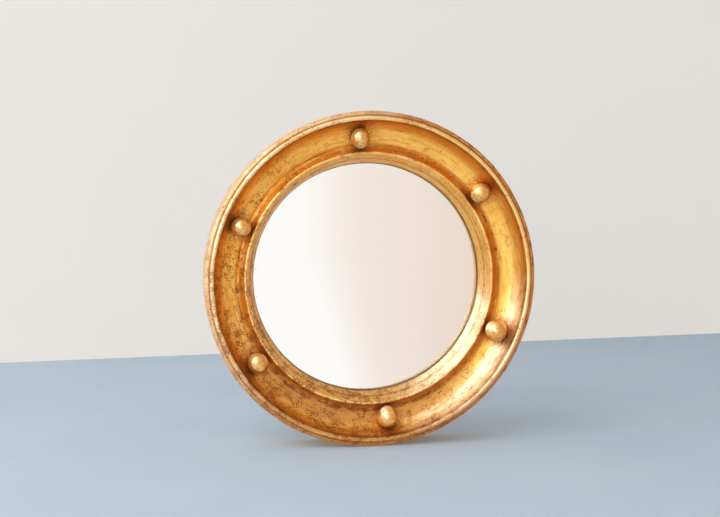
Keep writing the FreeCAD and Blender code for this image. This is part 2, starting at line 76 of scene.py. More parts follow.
HOLLOW_RADIUS = (HOLLOW_WIDTH**2 + HOLLOW_HEIGHT**2) / (2 * HOLLOW_HEIGHT)
HOLLOW_CENTRE = (HOLLOW_ROOT[0], HOLLOW_ROOT[1] + HOLLOW_RADIUS)
SLIP_SEAT = 15.18
SLIP_LIP = SLIP_SEAT + 2.0
COVE_WIDTH = 4.83
COVE_RADIUS = 7.0
CREST_OUTER = HOLLOW_ROOT[0] - COVE_WIDTH
CREST_WIDTH = 2.4
CREST_RISE = 4.5
CREST = (CREST_OUTER - CREST_WIDTH / 2, HOLLOW_ROOT[1] + CREST_RISE)
CREST_DROP = 0.9
BALL_LEAN = 23.12
BALL_SEAT = 1.5
GLUE_LINE = 0.03


# ---------------------------------------------------------------- shader graphs


def srgb(red, green, blue):
    """A linear colour from display values of 0 to 255."""
    channels = [value / 255 for value in (red, green, blue)]
    return tuple(c / 12.92 if c <= 0.04045 else ((c + 0.055) / 1.055) ** 2.4 for c in channels) + (1.0,)


class Field:
    """A value or colour that varies over a surface, with arithmetic."""

    def __init__(self, graph, socket):
        self.graph = graph
        self.socket = socket

    def __add__(self, other):
        return self.graph.math("ADD", self, other)

    def __sub__(self, other):
        return self.graph.math("SUBTRACT", self, other)

    def __rsub__(self, other):
        return self.graph.math("SUBTRACT", other, self)

    def __mul__(self, other):
        return self.graph.math("MULTIPLY", self, other)

    def __truediv__(self, other):
        return self.graph.math("DIVIDE", self, other)

    def rise(self, low, high):
        """0 below low and 1 above high, or the reverse where high is the smaller."""
        node = self.graph.node("ShaderNodeMapRange", interpolation_type="SMOOTHSTEP")
        self.graph.join(self, node.inputs["Value"])
        node.inputs["From Min"].default_value = low
        node.inputs["From Max"].default_value = high
        return Field(self.graph, node.outputs["Result"])

    def band(self, low, high, soft):
        """1 between low and high, fading over soft outside."""
        return self.rise(low - soft, low) * self.rise(high + soft, high)


class Graph:
    """The nodes of one material or of the world."""

    def __init__(self, tree):
        self.tree = tree
        tree.nodes.clear()

    def node(self, kind, **settings):
        node = self.tree.nodes.new(kind)
        for name, value in settings.items():
            setattr(node, name, value)
        return node

    def join(self, value, socket):
        """Feeds a socket from a field, or sets it where the value is a constant."""
        if isinstance(value, Field):
            self.tree.links.new(value.socket, socket)
        else:
            socket.default_value = value

    def math(self, operation, *values, clamp=False):
        node = self.node("ShaderNodeMath", operation=operation, use_clamp=clamp)
        for value, socket in zip(values, node.inputs):
            self.join(value, socket)
        return Field(self, node.outputs[0])

    def most(self, *values):
        """The largest of the fields at each point."""
        result = values[0]
        for value in values[1:]:
            result = self.math("MAXIMUM", result, value)
        return result

    def vector(self, x, y, z):
        node = self.node("ShaderNodeCombineXYZ")
        for value, socket in zip((x, y, z), node.inputs):
            self.join(value, socket)
        return Field(self, node.outputs[0])

    def place(self):
        """The point on the surface in millimetres: x, y and z, and then all three as a vector."""
        node = self.node("ShaderNodeTexCoord")
        scaled = self.node("ShaderNodeVectorMath", operation="SCALE")
        self.tree.links.new(node.outputs["Object"], scaled.inputs[0])
        scaled.inputs["Scale"].default_value = 1 / MM
        split = self.node("ShaderNodeSeparateXYZ")
        self.tree.links.new(scaled.outputs[0], split.inputs[0])
        return [Field(self, socket) for socket in split.outputs] + [Field(self, scaled.outputs[0])]

    def distance(self, vector, point):
        node = self.node("ShaderNodeVectorMath", operation="DISTANCE")
        self.join(vector, node.inputs[0])
        node.inputs[1].default_value = point
        return Field(self, node.outputs["Value"])

    def noise(self, vector, width, detail=2.0, roughness=0.5, shift=0.0):
        """Soft noise about 0.5, whose features are about width across."""
        node = self.node("ShaderNodeTexNoise", noise_dimensions="4D")
        self.join(vector, node.inputs["Vector"])
        node.inputs["W"].default_value = shift
        node.inputs["Scale"].default_value = 1 / width
        node.inputs["Detail"].default_value = detail
        node.inputs["Roughness"].default_value = roughness
        return Field(self, node.outputs["Fac"])

    def cells(self, vector, width, feature="F1", shift=0.0):
        """Distance from the middle, or by feature from the edge, of cells about width across."""
        node = self.node("ShaderNodeTexVoronoi", voronoi_dimensions="4D", feature=feature)
        self.join(vector, node.inputs["Vector"])
        node.inputs["W"].default_value = shift
        node.inputs["Scale"].default_value = 1 / width
        return Field(self, node.outputs["Distance"])

    def bend(self, vector, width, amount):
        """The vector moved about by soft noise, so that straight patterns wander."""
        node = self.node("ShaderNodeTexNoise", noise_dimensions="3D")
        self.join(vector, node.inputs["Vector"])
        node.inputs["Scale"].default_value = 1 / width
        moved = self.node("ShaderNodeVectorMath", operation="MULTIPLY_ADD")
        self.tree.links.new(node.outputs["Color"], moved.inputs[0])
        moved.inputs[1].default_value = (amount, amount, amount)
        self.join(vector, moved.inputs[2])
        return Field(self, moved.outputs[0])

    def mix(self, factor, first, second):
        """first where factor is 0 and second where it is 1, for colours."""
        node = self.node("ShaderNodeMix", data_type="RGBA")
        self.join(factor, node.inputs[0])
        self.join(first, node.inputs[6])
        self.join(second, node.inputs[7])
        return Field(self, node.outputs[2])

    def blend(self, factor, first, second):
        """first where factor is 0 and second where it is 1, for numbers."""
        node = self.node("ShaderNodeMix", data_type="FLOAT")
        self.join(factor, node.inputs[0])
        self.join(first, node.inputs[2])
        self.join(second, node.inputs[3])
        return Field(self, node.outputs[0])


class Surface:
    """A material in the making: each layer covers what is under it where its mask is 1."""

    def __init__(self, name, colour, metal, rough):
        self.material = bpy.data.materials.new(name)
        self.material.use_nodes = True
        self.graph = Graph(self.material.node_tree)
        self.x, self.y, self.z, self.point = self.graph.place()
        self.colour, self.metal, self.rough = colour, metal, rough
        self.height = None

    def tint(self, mask, colour):
        self.colour = self.graph.mix(mask, self.colour, colour)

    def layer(self, mask, colour, metal, rough):
        self.tint(mask, colour)
        self.metal = self.graph.blend(mask, self.metal, metal)
        self.rough = self.graph.blend(mask, self.rough, rough)

    def raise_by(self, field, amount):
        """Adds relief of amount millimetres times the field."""
        step = field * amount
        self.height = step if self.height is None else self.height + step

    def finish(self):
        """Joins colour, metal, roughness and relief to the shader and returns the material."""
        graph = self.graph
        shader = graph.node("ShaderNodeBsdfPrincipled")
        graph.join(self.colour, shader.inputs["Base Color"])
        graph.join(self.metal, shader.inputs["Metallic"])
        graph.join(self.rough, shader.inputs["Roughness"])
        if self.height is not None:
            bump = graph.node("ShaderNodeBump")
            bump.inputs["Strength"].default_value = 1.0
            bump.inputs["Distance"].default_value = MM
            graph.join(self.height, bump.inputs["Height"])
            graph.tree.links.new(bump.outputs[0], shader.inputs["Normal"])
        output = graph.node("ShaderNodeOutputMaterial")
        graph.tree.links.new(shader.outputs[0], output.inputs["Surface"])
        return self.material


def radius_of(surface):
    """Distance of a surface's point from the mirror's axis."""
    return surface.graph.math("SQRT", surface.x * surface.x + surface.z * surface.z)


def out_of(surface):
    """Distance of a surface's point from the wall."""
    return surface.y * -1.0


RIM_MIDDLE = 110.0  # where streaks are as long as their stretch says


def round_vector(surface, radius, out, stretch):
    """Coordinates squeezed round the rim by stretch, so that noise runs in streaks along it."""
    reach = RIM_MIDDLE / stretch
    return surface.graph.vector(surface.x / radius * reach, surface.z / radius * reach, radius + out)


# ---------------------------------------------------------------- gilding

BALLS = [
    # diameter, clock, stretch across the rim, stretch round it, seed
    (14.8, 94.5, 1.06, 0.97, 11),
    (15.6, 37.2, 1.02, 0.98, 12),
    (17.2, -23.0, 1.00, 1.02, 13),
    (16.2, -83.2, 1.05, 0.97, 14),
    (15.6, -144.5, 0.98, 1.03, 15),
    (14.8, 157.6, 1.02, 0.99, 16),
]


def ball_angle(index):
    return math.radians(BALLS[index][1])


def ball_centre(index):
    """Radius and out of a ball's centre."""
    distance = HOLLOW_RADIUS - BALLS[index][0] / 2 + BALL_SEAT
    lean = math.radians(BALL_LEAN)
    return HOLLOW_CENTRE[0] + distance * math.sin(lean), HOLLOW_CENTRE[1] - distance * math.cos(lean)


def ball_point(index):
    radius, out = ball_centre(index)
    angle = ball_angle(index)
    return (radius * math.cos(angle), -out, radius * math.sin(angle))


# Leaf on the rim, with its painted highlights and painted shade
GOLD = srgb(250, 197, 98)
GOLD_PALE = srgb(252, 222, 150)
GOLD_HIGHLIGHT = srgb(252, 236, 206)
GOLD_ORANGE = srgb(232, 150, 54)
GOLD_DEEP = srgb(220, 154, 60)
GOLD_CLOUD = srgb(208, 138, 58)
GOLD_ROOT = srgb(202, 120, 30)
GOLD_TAN = srgb(222, 172, 98)
GOLD_LOW_DARK = srgb(196, 134, 70)
GOLD_BOTTOM_SHADE = srgb(176, 116, 56)
SIDE_TAN = srgb(236, 206, 170)
EDGE_SHADE = srgb(196, 122, 58)
QUIRK_LIT_MAUVE = srgb(222, 190, 162)
QUIRK_SHADE = srgb(170, 108, 66)

# What shows through the leaf or lies on it; some of these also serve as painted shade in corners, round the
# balls and at the sight edge
BOLE = srgb(160, 84, 38)
BOLE_DARK = srgb(150, 74, 38)
BOLE_LIGHT = srgb(176, 104, 46)
BROWN = srgb(122, 68, 30)
WAX = srgb(112, 58, 20)
BALL_RING_SHADE = srgb(104, 58, 24)
SIGHT_SHADE = srgb(128, 108, 72)

# Leaf on the balls, with its painted highlight and painted shade
BALL_GOLD = srgb(236, 184, 108)
BALL_SHADE_ORANGE = srgb(232, 146, 46)
BALL_UNDER_SHADE = srgb(176, 142, 90)
BALL_HIGHLIGHT = srgb(252, 232, 196)
BALL_PALE = srgb(250, 222, 170)
BALL_GRIT = srgb(178, 130, 68)
BALL_RUBBED = srgb(150, 96, 44)
BALL_FOOT_SHADE = srgb(96, 56, 24)


def facing(surface, clock, low, high):
    """1 on the part of the rim that lies towards clock and 0 opposite, rising between two cosines."""
    angle = math.radians(clock)
    along = surface.x * math.cos(angle) + surface.z * math.sin(angle)
    return (along / radius_of(surface)).rise(low, high)


def ball_gap(surface):
    """Distance to the nearest ball."""
    graph = surface.graph
    gap = None
    for index in range(len(BALLS)):
        one = graph.distance(surface.point, ball_point(index)) - BALLS[index][0] / 2
        gap = one if gap is None else graph.math("MINIMUM", gap, one)
    return gap


def gold_leaf(name):
    """Water gilding over red bole on a turned rim, rubbed on its edges, with painted shade in its corners and
    recesses and painted highlights on the sides towards the light.
    """
    surface = Surface(name, GOLD, 0.94, 0.4)
    graph = surface.graph
    point = surface.point
    radius, out = radius_of(surface), out_of(surface)
    streaks = round_vector(surface, radius, out, 14)
    short_streaks = round_vector(surface, radius, out, 4)
    gap = ball_gap(surface)

    # Places round the rim: most worn at the lower left, and darker towards the bottom, with painted shade on
    # the bead and roll there; the lower right and upper left face the light and carry painted highlights
    wear = facing(surface, -135, -1.0, 1.0)
    low = facing(surface, -97, 0.35, 0.95)
    lit_lower_right = facing(surface, -38, 0.72, 0.98)
    lit_upper_left = facing(surface, 160, -0.15, 0.65)

    # Places across it, from limits in radius and out
    front = out.rise(30, 33)
    slope = radius.rise(CREST[0] - 0.6, CREST[0] - 1.6)
    crest = radius.band(CREST[0] - 0.7, CREST[0] + 0.6, 0.5) * out.rise(28.5, 29.6)
    bead = radius.band(BEAD_INNER + 0.5, BEAD_OUTER - 0.4, 0.4) * front
    roll = radius.rise(BEAD_OUTER + 0.8, BEAD_OUTER + 1.3) * out.rise(36.5, 38.2)
    side = radius.rise(122.5, 124.2) * out.rise(38.4, 37.0)
    wall = radius.band(115.5, BEAD_INNER, 4.5) * out.rise(28, 30)
    root = radius.band(99.0, 102.2, 2.4) * out.rise(30.5, 28)
    trough = radius.band(100.0, 110.0, 4.0) * out.rise(24, 25)

    # Fields of noise, from broad to fine
    broad = graph.noise(point, 24, 2, 0.5, 1.0)
    patchy = graph.noise(point, 7, 4, 0.65, 4.0)
    fine = graph.noise(short_streaks, 1.3, 4, 0.65, 5.0)
    grit = graph.noise(point, 1.1, 3, 0.7, 14.0)
    turned = graph.noise(streaks, 1.3, 3, 0.6, 2.0)

    # Leaf: tone by zone, with painted shade in the hollow and painted highlights on the lit sides, then broad
    # changes, streaks and mottling
    # Painted shade: the hollow's outer wall and its root deepened to orange, as gold mirroring gold in a
    # recess, less on the wall at the lit lower right
    surface.tint(wall * (0.9 - lit_lower_right * 0.7), GOLD_DEEP)
    surface.layer(root * 0.9, GOLD_ROOT, 0.9, 0.5)
    # Paler leaf on the bead and crest all round, partly a painted highlight on these rounds
    surface.tint(bead * 0.8, GOLD_PALE)
    surface.tint(crest * 0.7, GOLD_PALE)
    surface.tint(slope * 0.75, GOLD_TAN)
    # Painted highlight: slope, crest and hollow paled nearly to white at the lower right, and the bead at the
    # upper left, the sides that face the light
    pale_highlight = graph.most(slope, crest, radius.rise(107, 114)) * lit_lower_right
    surface.layer(pale_highlight * 0.75, GOLD_HIGHLIGHT, 0.85, 0.42)
    surface.tint(bead * lit_upper_left * 0.55, GOLD_HIGHLIGHT)
    surface.layer(side * 0.9, SIDE_TAN, 0.3, 0.5)
    # Painted light on the edge roll: pale tan on its lit upper left, shaded brown elsewhere
    surface.layer(roll * 0.9, graph.mix(lit_upper_left, EDGE_SHADE, SIDE_TAN), 0.45, 0.45)
    surface.tint(broad.rise(0.42, 0.7) * 0.4, GOLD_ORANGE)
    surface.tint(turned.rise(0.52, 0.64) * 0.4, GOLD_PALE)
    surface.tint(turned.rise(0.48, 0.36) * (0.45 - slope * 0.2), GOLD_DEEP)
    cloudy = graph.noise(short_streaks, 3.2, 4, 0.6, 6.0)
    surface.tint(cloudy.rise(0.52, 0.62) * (1.0 - bead * 0.6 - slope * 0.4) * 0.5, GOLD_CLOUD)
    mottle = (patchy * 0.55 + grit * 0.45).rise(0.5, 0.62)
    surface.tint(mottle * (1.0 - graph.most(bead * 0.5, side * 0.6)) * (wear * 0.3 + 0.3), GOLD_DEEP)
    # The hollow's floor darker towards the bottom
    surface.layer(trough * low * 0.75, GOLD_LOW_DARK, 0.8, 0.45)
    # Painted shade: bead and edge roll darker at the bottom, where they face the table
    surface.tint(graph.most(bead, roll) * low * 0.6, GOLD_BOTTOM_SHADE)

    # Bole through the leaf: patches where hands and dusters reach, near the balls and along the turned edges.
    # Where whole is high, the leaf keeps it covered.
    rubbed = (patchy * 0.45 + grit * 0.35 + fine * 0.2 + wear * 0.08).rise(0.56, 0.63)
    whole = graph.most(lit_upper_left * roll * 0.9, lit_lower_right * 0.6, side * 0.8)
    surface.layer(rubbed * (1.0 - whole) * 0.7, BOLE, 0.85, 0.5)
    near_ball = (gap + (patchy - 0.5) * 16.0).rise(8.5, 2.0)
    stipple = (grit * 0.65 + fine * 0.35).rise(0.43, 0.56)
    surface.layer(near_ball * (stipple * 0.65 + 0.15), BOLE_LIGHT, 0.8, 0.5)
    worn_roll = roll * (patchy * 0.5 + fine * 0.5).rise(0.46, 0.58) * (1.0 - lit_upper_left * 0.75)
    surface.layer(worn_roll * 0.7, BOLE_DARK, 0.5, 0.5)
    # Painted shade in the quirk between edge roll and bead: brown, and a paler mauve on the lit upper left
    quirk = radius.band(BEAD_OUTER, BEAD_OUTER + 0.9, 0.35) * front
    surface.layer(quirk * 0.65, graph.mix(lit_upper_left, QUIRK_SHADE, QUIRK_LIT_MAUVE), 0.6, 0.5)
    turned_line = radius.band(90.8, 91.5, 0.4) * out.rise(15, 18)
    surface.layer(turned_line * (fine.rise(0.42, 0.58) * 0.35 + 0.15), BROWN, 0.9, 0.5)
    dashes = radius.band(92.4, 92.9, 0.3) * fine.rise(0.54, 0.62) * out.rise(15, 18)
    surface.layer(dashes * 0.5, WAX, 0.8, 0.5)

    # Painted shade: the corner at the bead's foot and the root of the hollow in patches, rings round the feet
    # of the balls, and the shaded lip over the glass
    # Painted shade in patches, in the corner where the hollow meets the bead
    lip_corner = radius.band(HOLLOW_LIP[0] - 0.5, BEAD_INNER + 0.1, 0.5) * front
    surface.layer(lip_corner * (patchy.rise(0.3, 0.65) * 0.55 + 0.1), BROWN, 0.8, 0.5)
    # Painted shade in patches at the root of the hollow, a little more towards the bottom
    root_shade = radius.band(100.4, 102.4, 2.0) * out.rise(30.5, 28) * (patchy * 0.5 + fine * 0.5 + low * 0.08)
    surface.layer(root_shade.rise(0.5, 0.62) * 0.7, BROWN, 0.8, 0.5)
    # Painted shade: a dark ring round the foot of each ball
    surface.layer((gap + (grit - 0.5) * 1.5).rise(1.6, 0.2) * 0.85, BALL_RING_SHADE, 0.3, 0.55)
    sight = radius.rise(SIGHT_RADIUS + 0.35, SIGHT_RADIUS + 0.1) * out.rise(20, 18)
    surface.layer(sight * 0.7, SIGHT_SHADE, 0.3, 0.55)

    # Specks and a few hairlines
    speck_field = (broad * 0.5 + patchy * 0.5 + wear * 0.08).rise(0.51, 0.6)
    specks = graph.cells(graph.bend(point, 2.0, 1.2), 1.9, shift=7.0).rise(0.36, 0.22) * speck_field
    surface.layer(specks * 0.9, WAX, 0.9, 0.5)
    dots = graph.cells(point, 1.05, shift=8.5).rise(0.36, 0.2) * (patchy + wear * 0.08).rise(0.52, 0.6)
    surface.layer(dots * 0.75, BROWN, 0.9, 0.5)
    bent = graph.bend(point, 5.0, 2.5)
    crack_field = graph.noise(point, 16, 2, 0.5, 8.0).rise(0.56, 0.64)
    cracks = graph.cells(bent, 15, "DISTANCE_TO_EDGE", shift=9.0).rise(0.012, 0.003) * crack_field
    surface.layer(cracks * 0.6, BROWN, 0.8, 0.5)

    # Roughness and relief
    surface.rough = graph.math("ADD", surface.rough, (grit - 0.5) * 0.25 + (patchy - 0.5) * 0.2, clamp=True)
    surface.raise_by(patchy, 0.16)
    surface.raise_by(graph.noise(streaks, 0.9, 3, 0.5, 11.0), 0.05)
    surface.raise_by(grit, 0.06)
    surface.raise_by(specks, -0.05)
    surface.raise_by(cracks, -0.05)
    return surface


def ball_gold(index):
    """Mottled leaf on a ball, paler than the rim, with a painted highlight at its upper left and painted
    shade on its right side, underneath and at its foot.
    """
    surface = Surface(f"ball_{index + 1}_gilding", BALL_GOLD, 0.92, 0.32)
    graph = surface.graph
    point = surface.point
    seed = BALLS[index][4]
    size = BALLS[index][0] / 2
    centre = ball_point(index)
    tone = graph.noise(point, 7, 3, 0.6, seed)
    grit = graph.noise(point, 1.6, 3, 0.7, seed + 0.2)
    across = (surface.x - centre[0]) / size + (tone - 0.5)
    below = (centre[2] - surface.z) / size + (tone - 0.5)
    # Painted light: orange shade on the right side and olive shade underneath, away from the light, and a
    # near-white highlight at the upper left
    surface.tint(across.rise(0.1, 0.85) * 0.8, BALL_SHADE_ORANGE)
    surface.tint(below.rise(0.25, 0.9) * 0.65, BALL_UNDER_SHADE)
    surface.tint(across.rise(0.1, -0.6) * below.rise(0.3, -0.4) * 0.6, BALL_HIGHLIGHT)
    surface.tint(graph.noise(point, 3.4, 3, 0.6, seed + 0.3).rise(0.5, 0.66) * 0.45, BALL_PALE)
    surface.tint(grit.rise(0.48, 0.64) * 0.55, BALL_GRIT)
    patch = (graph.noise(point, 3.2, 4, 0.65, seed + 0.5) * 0.6 + grit * 0.4).rise(0.55, 0.63)
    surface.layer(patch * 0.5, BALL_RUBBED, 0.4, 0.5)
    specks = graph.cells(point, 1.6, shift=seed).rise(0.28, 0.16) * tone.rise(0.42, 0.55)
    surface.layer(specks * 0.7, WAX, 0.1, 0.6)
    section = graph.vector(radius_of(surface), out_of(surface), 0.0)
    hollow = graph.distance(section, (*HOLLOW_CENTRE, 0.0))
    # Painted shade: the foot, where the ball meets the hollow, darkened to brown
    foot = (hollow + (tone - 0.5) * 2.5).rise(HOLLOW_RADIUS - 2.8, HOLLOW_RADIUS - 0.8)
    surface.layer(foot * 0.9, BALL_FOOT_SHADE, 0.3, 0.55)
    surface.rough = graph.math("ADD", surface.rough, (grit - 0.5) * 0.3, clamp=True)
    surface.raise_by(graph.noise(point, 2.5, 3, 0.5, seed + 0.7), 0.12)
    surface.raise_by(grit, 0.06)
    surface.raise_by(specks, -0.04)
    return surface.finish()


# ---------------------------------------------------------------- mesh making

SMOOTH_ANGLE = 40  # degrees, over which an edge stays sharp
SWELL_WAVES = 24


def swell(points, width, seed):
    """Smooth random relief, mostly -1 to 1, at points (an n by 3 array).

    Its waves are 1.2 to 2.8 times width long.
    """
    chance = np.random.default_rng(seed)
    ways = chance.normal(size=(SWELL_WAVES, 3))
    ways /= np.linalg.norm(ways, axis=1)[:, None]
    lengths = width * chance.uniform(1.2, 2.8, SWELL_WAVES)
    phases = chance.uniform(0, TAU, SWELL_WAVES)
    waves = np.cos(points @ (ways / lengths[:, None]).T * TAU + phases)
    return waves.sum(axis=1) / math.sqrt(SWELL_WAVES)


def add_object(name, data):
    """A new object in the scene."""
    item = bpy.data.objects.new(name, data)
    bpy.context.scene.collection.objects.link(item)
    return item


def smooth_mesh(name, vertices, faces, material):
    """A smooth-shaded mesh from vertices in millimetres."""
    mesh = bpy.data.meshes.new(name)
    mesh.from_pydata([tuple(value * MM for value in vertex) for vertex in vertices], [], faces)
    mesh.polygons.foreach_set("use_smooth", [True] * len(mesh.polygons))
    mesh.materials.append(material)
    return mesh


def make_piece(name, vertices, faces, material):
    """A piece of the mirror that rides on its frame."""
    mesh = smooth_mesh(name, vertices, faces, material)
    mesh.set_sharp_from_angle(angle=math.radians(SMOOTH_ANGLE))
    piece = add_object(name, mesh)
    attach(piece, "frame")
    return piece


def arc(start, end, centre, count):
    """Points on the shorter arc round centre from start to end, without start."""
    first = math.atan2(start[1] - centre[1], start[0] - centre[0])
    last = math.atan2(end[1] - centre[1], end[0] - centre[0])
    turn = (last - first + math.pi) % TAU - math.pi
    size = math.dist(start, centre)
    angles = [first + turn * step / count for step in range(1, count + 1)]
    return [(centre[0] + size * math.cos(a), centre[1] + size * math.sin(a)) for a in angles]


def cove(start, end, radius, count):
    """Points on a hollow arc of this radius from start inwards and up to end, without start."""
    half = math.dist(start, end) / 2
    middle = ((start[0] + end[0]) / 2, (start[1] + end[1]) / 2)
    rise = math.sqrt(radius**2 - half**2)
    across = ((start[1] - end[1]) / (2 * half), (end[0] - start[0]) / (2 * half))
    centre = (middle[0] - across[0] * rise, middle[1] - across[1] * rise)
    return arc(start, end, centre, count)


def line(start, end, count):
    """Points on the straight run from start to end, without start."""
    run, rise = end[0] - start[0], end[1] - start[1]
    return [(start[0] + run * step / count, start[1] + rise * step / count) for step in range(1, count + 1)]


def points_at(radius, out, angle):
    """The points x, y and z at these radii, distances out and angles, all of them arrays."""
    return np.stack([radius * np.cos(angle), -out, radius * np.sin(angle)], axis=1)


def lathe(name, profile, segments, material, relief):
    """Turns a closed profile of (radius, out) into a piece.

    relief(points, radius, out) gives how far each point moves off the surface.
    """
    profile = np.array(profile)
    count = len(profile)
    along = np.roll(profile, -1, axis=0) - np.roll(profile, 1, axis=0)
    normals = np.stack([along[:, 1], -along[:, 0]], axis=1)
    normals /= np.linalg.norm(normals, axis=1)[:, None]
    radius = np.tile(profile[:, 0], segments)
    out = np.tile(profile[:, 1], segments)
    angle = np.repeat(np.arange(segments) * TAU / segments, count)
    move = relief(points_at(radius, out, angle), radius, out)
    radius = radius + move * np.tile(normals[:, 0], segments)
    out = out + move * np.tile(normals[:, 1], segments)
    vertices = points_at(radius, out, angle)
    faces = []
    for s in range(segments):
        here, there = s * count, (s + 1) % segments * count
        for p in range(count):
            q = (p + 1) % count
            faces.append((here + p, here + q, there + q, there + p))
    return make_piece(name, vertices, faces, material)


# ---------------------------------------------------------------- the turned rim

RIM_SEGMENTS = 900
DENTS = 60
DENTED = [  # radius and out of what takes the knocks
    (126.4, RIM_DEPTH - 0.9),  # edge roll
    (BEAD_MIDDLE, RIM_DEPTH + 1.3),  # top of the bead
    (BEAD_INNER, RIM_DEPTH),  # its inner foot
    CREST,
    (113.0, 30.0),  # wall of the hollow
]
SCORE_DROP = 14.5  # from the rim's front back to the line scored round its side
SCORE_DEPTH = 0.4
SLOPE_STEP = 0.4  # between the two bands of the slip's slope

gilding = gold_leaf("gilding").finish()


def dents(points, seed):
    """Small knocks, each at a random place with its own width and depth."""
    chance = np.random.default_rng(seed)
    total = np.zeros(len(points))
    for _ in range(DENTS):
        radius, out = DENTED[chance.integers(len(DENTED))]
        angle = chance.uniform(0, TAU)
        centre = np.array([radius * math.cos(angle), -out, radius * math.sin(angle)])
        width = chance.uniform(0.6, 1.8)
        depth = chance.uniform(0.1, 0.35)
        total -= depth * np.exp(-((np.linalg.norm(points - centre, axis=1) / width) ** 2))
    return total


def broad_swell(points):
    """Unevenness that runs on from the front to the side of the drum."""
    return swell(points, 30, 1) * 0.10


def rim_relief(points, _radius, _out):
    """The same hand-made unevenness all over the front and the slip."""
    middle = swell(points, 7, 2) * 0.05
    small = swell(points, 2.5, 3) * 0.03
    return broad_swell(points) + middle + small + dents(points, 4)


def front_profile():
    """From the bore outwards along the back, up the side and back over edge, quirk, bead and hollow."""
    back = DRUM_DEPTH + GLUE_LINE
    side_front = RIM_DEPTH - EDGE_ROLL
    score = RIM_DEPTH - SCORE_DROP
    score_lip, score_floor = 0.7, 0.15  # half the width of the scored line at its top and at its floor
    roll_top = RIM_RADIUS - EDGE_ROLL
    quirk_outer = (roll_top - 0.3, RIM_DEPTH - 0.55)
    quirk_inner = (BEAD_OUTER + 0.3, RIM_DEPTH - 0.75)
    bead_foot = RIM_DEPTH - 0.4
    bead_radius = (BEAD_OUTER - BEAD_INNER) / 2
    bead_centre = (BEAD_MIDDLE, bead_foot)

    def side(out, inset=0.0):
        """The point of the slightly tapered side at this distance out, or inset from there."""
        share = (RIM_RADIUS - JOINT_RADIUS) * (side_front - out) / (side_front - back)
        return (RIM_RADIUS - share - inset, out)

    start = (HOLLOW_ROOT[0], back)
    steps = [start]
    steps += line(steps[-1], side(back), 6)
    steps += line(steps[-1], side(score - score_lip), 4)
    steps += line(steps[-1], side(score - score_floor, SCORE_DEPTH), 3)
    steps += line(steps[-1], side(score + score_floor, SCORE_DEPTH), 1)
    steps += line(steps[-1], side(score + score_lip), 3)
    steps += line(steps[-1], side(side_front), 12)
    steps += arc(steps[-1], (roll_top, RIM_DEPTH), (roll_top, side_front), 12)
    steps += line(steps[-1], quirk_outer, 2)
    steps += line(steps[-1], quirk_inner, 2)
    steps += line(steps[-1], (BEAD_OUTER, bead_foot), 2)
    steps += arc(steps[-1], (BEAD_MIDDLE, bead_foot + bead_radius), bead_centre, 9)
    steps += arc(steps[-1], (BEAD_INNER, bead_foot), bead_centre, 9)
    steps += line(steps[-1], (BEAD_INNER - 0.1, HOLLOW_LIP[1] + 0.15), 2)
    steps += arc(HOLLOW_LIP, HOLLOW_ROOT, HOLLOW_CENTRE, 44)
    steps += line(steps[-1], start, 5)[:-1]
    return steps


def slip_profile():
    """From the sight edge outwards along the seat, up the outside and back over cove, crest and slope."""
    outer = HOLLOW_ROOT[0] - GLUE_LINE
    seat = SLIP_SEAT + GLUE_LINE
    foot = (outer, HOLLOW_ROOT[1])
    shoulder = CREST[1] - CREST_DROP
    crest_radius = ((CREST_WIDTH / 2) ** 2 + CREST_DROP**2) / (2 * CREST_DROP)
    crest_centre = (CREST[0], CREST[1] - crest_radius)
    crest_inner = CREST_OUTER - CREST_WIDTH
    middle = ((crest_inner + SIGHT_RADIUS) / 2, (shoulder + SLIP_LIP) / 2)
    steps = [(SIGHT_RADIUS, seat)]
    steps += line(steps[-1], (outer, seat), 6)
    steps += line(steps[-1], foot, 5)
    steps += cove(foot, (CREST_OUTER, shoulder), COVE_RADIUS, 12)
    steps += arc(steps[-1], CREST, crest_centre, 6)
    steps += arc(steps[-1], (crest_inner, shoulder), crest_centre, 6)
    steps += line(steps[-1], (middle[0], middle[1] + SLOPE_STEP), 12)
    steps += line(steps[-1], (middle[0] - 0.35, middle[1]), 2)
    steps += line(steps[-1], (SIGHT_RADIUS + 0.15, SLIP_LIP), 12)
    steps += line(steps[-1], (SIGHT_RADIUS, SLIP_LIP - 0.2), 2)
    steps += line(steps[-1], (SIGHT_RADIUS, seat), 5)[:-1]
    return steps


front = lathe("gilded_moulding", front_profile(), RIM_SEGMENTS, gilding, rim_relief)
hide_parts("front_moulding")

slip = lathe("gilded_slip", slip_profile(), RIM_SEGMENTS, gilding, rim_relief)
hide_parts("slip_ring")


# ---------------------------------------------------------------- the drum and the back

STAINED_WOOD = srgb(128, 88, 54)
DARK_WOOD = srgb(96, 64, 40)
BARE_WOOD = srgb(186, 148, 104)
DRUM_SEGMENTS = 480


def drum_material():
    """Gilded like the rim outside, and stained wood at the back and inside."""
    surface = gold_leaf("gilded_side_and_bare_back")
    graph = surface.graph
    radius, out = radius_of(surface), out_of(surface)
    grain_vector = graph.vector(surface.x * 0.12, surface.y, surface.z)
    grain = graph.noise(grain_vector, 1.6, 4, 0.6, 20.0)
    board = graph.noise(surface.point, 40, 2, 0.5, 21.0)
    ragged = graph.noise(surface.point, 4, 3, 0.6, 22.0)
    bare = graph.most((out + (ragged - 0.5) * 3.0).rise(3.2, 1.6), radius.rise(122, 120))
    wood = graph.mix(grain.rise(0.35, 0.68), BARE_WOOD, STAINED_WOOD)
    wood = graph.mix(board.rise(0.35, 0.7) * 0.4, wood, DARK_WOOD)
    surface.layer(bare, wood, 0.0, 0.72)
    surface.raise_by(grain * bare, 0.08)
    return surface.finish()


